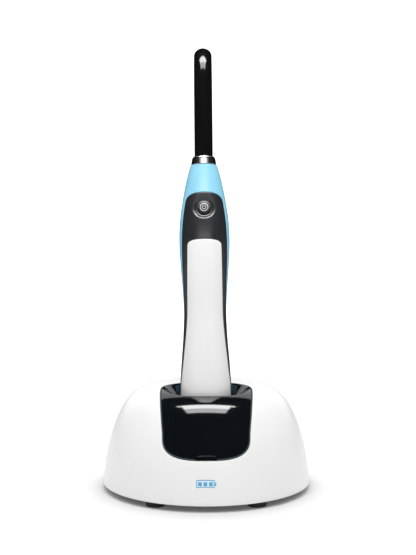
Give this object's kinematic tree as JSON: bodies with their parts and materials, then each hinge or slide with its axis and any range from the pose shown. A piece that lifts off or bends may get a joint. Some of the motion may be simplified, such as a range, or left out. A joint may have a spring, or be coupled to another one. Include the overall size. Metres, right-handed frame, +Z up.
{
  "type": "dental curing light",
  "caption": "Cordless dental curing light: slim handpiece with a bent black light guide, standing in a round domed charging base with a dark cup insert.",
  "frame": {"origin": "on the table, under the centre of the round base", "axes": "+Z up; the base's front and the power button face -Y; the light guide bends towards +Y; +X to the viewer's right"},
  "size_m": [0.125, 0.125, 0.2638],
  "materials": {
    "white_shell": "satin gloss white",
    "smoked_insert": "high gloss smoked near-black",
    "rubber": "matte black",
    "base_plate": "matte dark grey",
    "steel": "satin",
    "contact_gold": "gold-plated, bright",
    "circuit_board": "green solder mask",
    "component": "moulded black",
    "blue_shell": "satin light blue",
    "grey_panel": "fine matte dark grey",
    "grip_white": "satin white",
    "battery_wrap": "shrink wrap",
    "chassis": "moulded grey",
    "aluminium": "machined",
    "polished_steel": "polished",
    "glass": "clear optical glass",
    "guide_black": "high gloss black coat",
    "led_die": "phosphor yellow"
  },
  "bodies": {
    "base": {"base_shell": "white_shell", "cradle": "smoked_insert", "status_window": "smoked_insert", "base_plate": "base_plate", "base_screw_1": "steel", "base_screw_2": "steel", "base_screw_3": "steel", "base_screw_4": "steel", "foot_front_left": "rubber", "foot_front_right": "rubber", "foot_rear_left": "rubber", "foot_rear_right": "rubber", "ballast_plate": "steel", "charger_board": "circuit_board", "power_jack": "component", "charger_chip": "component", "smoothing_capacitor": "aluminium", "charger_inductor": "component", "status_board": "circuit_board", "status_light_pipe": "glass", "charge_lead": "rubber", "contact_block": "component", "contact_board": "circuit_board", "contact_spring_left": "steel", "contact_spring_right": "steel"},
    "handpiece": {"body_shell": "blue_shell", "front_panel": "grey_panel", "grip_cover": "grip_white", "end_cap": "grey_panel", "charge_pad_left": "contact_gold", "charge_pad_right": "contact_gold", "battery_cell": "battery_wrap", "chassis": "chassis", "control_board": "circuit_board", "processor": "component", "led_driver": "component", "driver_inductor": "component", "sounder": "component", "board_screw_upper": "steel", "board_screw_lower": "steel", "heat_sink": "aluminium", "led_board": "circuit_board", "led_emitter": "led_die", "collector_lens": "glass", "guide_socket": "aluminium", "socket_o_ring": "rubber", "tactile_switch": "component", "switch_board": "circuit_board"},
    "collar": {"guide_collar": "polished_steel"},
    "light_guide": {"guide_jacket": "guide_black", "guide_rod": "glass"},
    "button": {"power_button": "rubber", "button_plunger": "component"},
    "pin_left": {"contact_pin_left": "contact_gold"},
    "pin_right": {"contact_pin_right": "contact_gold"}
  },
  "joints": [
    {"name": "handpiece_lift", "type": "slide", "parent": "base", "child": "handpiece", "axis": [0, 0, 1], "range_m": [0, 0.12]},
    {"name": "guide_pull", "type": "slide", "parent": "handpiece", "child": "collar", "axis": [-0.0096, 0.0872, 0.9961], "range_m": [0, 0.018]},
    {"name": "guide_turn", "type": "hinge", "parent": "collar", "child": "light_guide", "pos_m": [-0.00149, -0.01523, 0.19189], "axis": [-0.0096, 0.0872, 0.9961], "continuous": true},
    {"name": "button_press", "type": "slide", "parent": "handpiece", "child": "button", "axis": [0.0024, 0.9686, -0.2487], "range_m": [0, 0.0006], "stiffness_N_per_m": 800, "springref_m": -0.0005},
    {"name": "pin_left_press", "type": "slide", "parent": "base", "child": "pin_left", "axis": [0, 0, -1], "range_m": [0, 0.0012], "stiffness_N_per_m": 250, "springref_m": -0.0008, "deforming": ["contact_spring_left"]},
    {"name": "pin_right_press", "type": "slide", "parent": "base", "child": "pin_right", "axis": [0, 0, -1], "range_m": [0, 0.0012], "stiffness_N_per_m": 250, "springref_m": -0.0008, "deforming": ["contact_spring_right"]}
  ]
}
